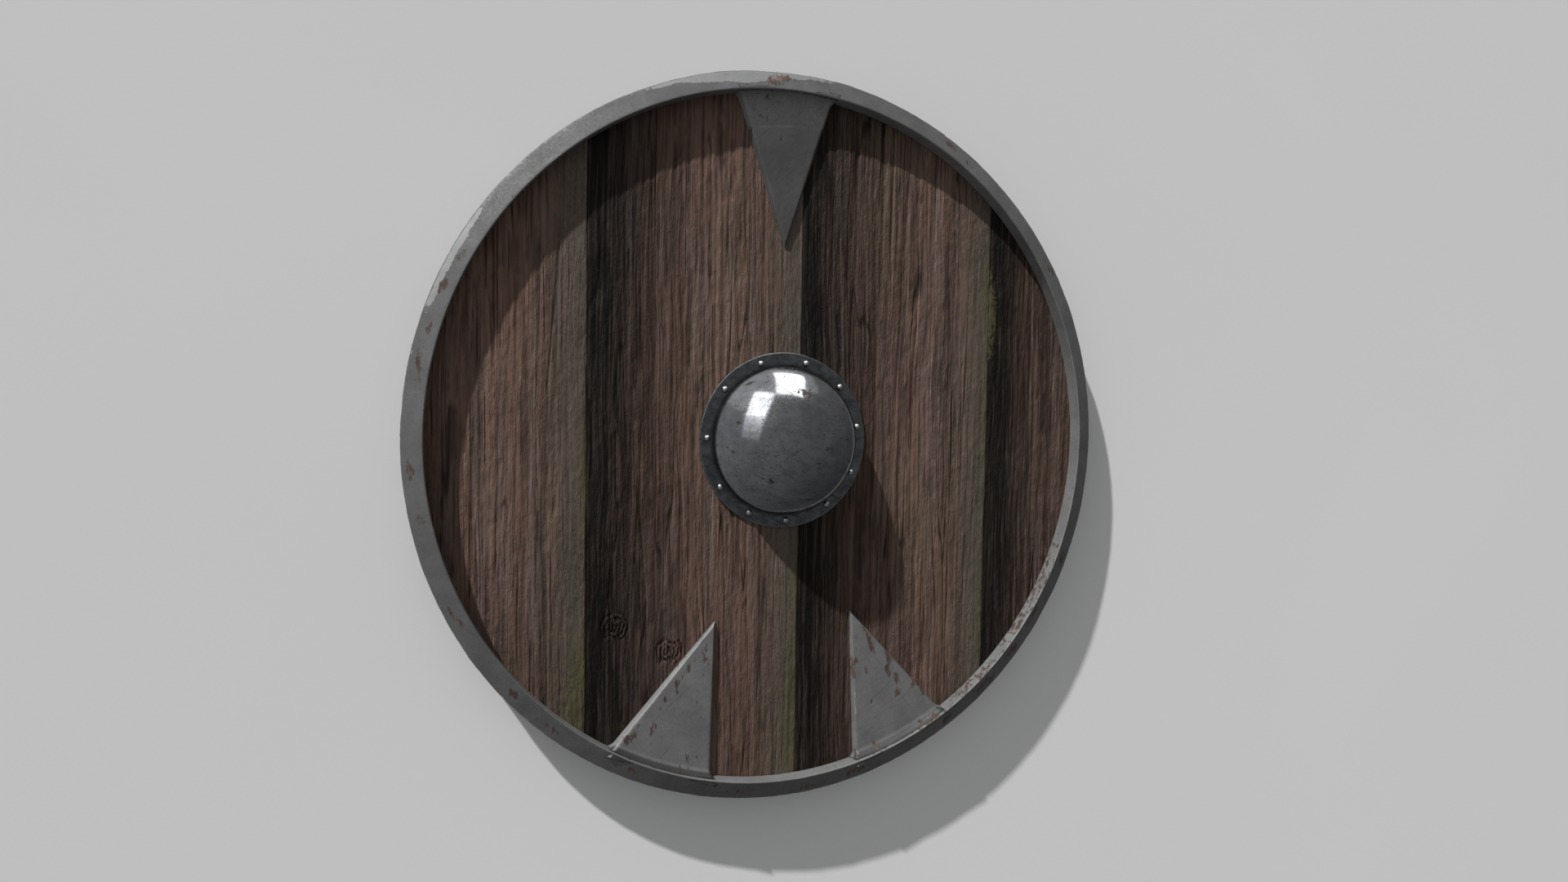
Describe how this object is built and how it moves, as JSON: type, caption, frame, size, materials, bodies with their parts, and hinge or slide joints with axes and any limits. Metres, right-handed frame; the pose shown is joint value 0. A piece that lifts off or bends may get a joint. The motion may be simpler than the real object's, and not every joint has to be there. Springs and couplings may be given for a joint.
{
  "type": "wooden round shield",
  "caption": "Round shield of upright boards in a recessed steel rim with inward-pointing wedges, a domed riveted boss and a wooden grip across the back.",
  "frame": {"origin": "centre of the rim's circle, in the plane of its flat back, on which the shield lies", "axes": "+Z out of the shield's face, along the boss; +Y towards the wedge at the shield's top; +X to the right seen from the front"},
  "size_m": [0.8, 0.8, 0.1026],
  "materials": {
    "weathered_boards": "weathered brown, dark and grey along the edges, moss in the seams",
    "rim_steel": "dull grey steel with rust spots",
    "boss_steel": "dark polished steel, scratched and pitted",
    "rivet_steel": "bright worn steel",
    "grip_wood": "plain worn wood",
    "nail_iron": "dark forged iron"
  },
  "bodies": {
    "root": {"plank_1": "weathered_boards", "plank_2": "weathered_boards", "plank_3": "weathered_boards", "plank_4": "weathered_boards", "rim": "rim_steel", "boss": "boss_steel", "grip": "grip_wood", "boss_rivet_01": "rivet_steel", "boss_rivet_02": "rivet_steel", "boss_rivet_03": "rivet_steel", "boss_rivet_04": "rivet_steel", "boss_rivet_05": "rivet_steel", "boss_rivet_06": "rivet_steel", "boss_rivet_07": "rivet_steel", "boss_rivet_08": "rivet_steel", "boss_rivet_09": "rivet_steel", "boss_rivet_10": "rivet_steel", "boss_rivet_11": "rivet_steel", "grip_nail_1": "nail_iron", "grip_nail_2": "nail_iron", "grip_nail_3": "nail_iron", "grip_nail_4": "nail_iron", "grip_nail_5": "nail_iron", "grip_nail_6": "nail_iron"}
  },
  "joints": []
}
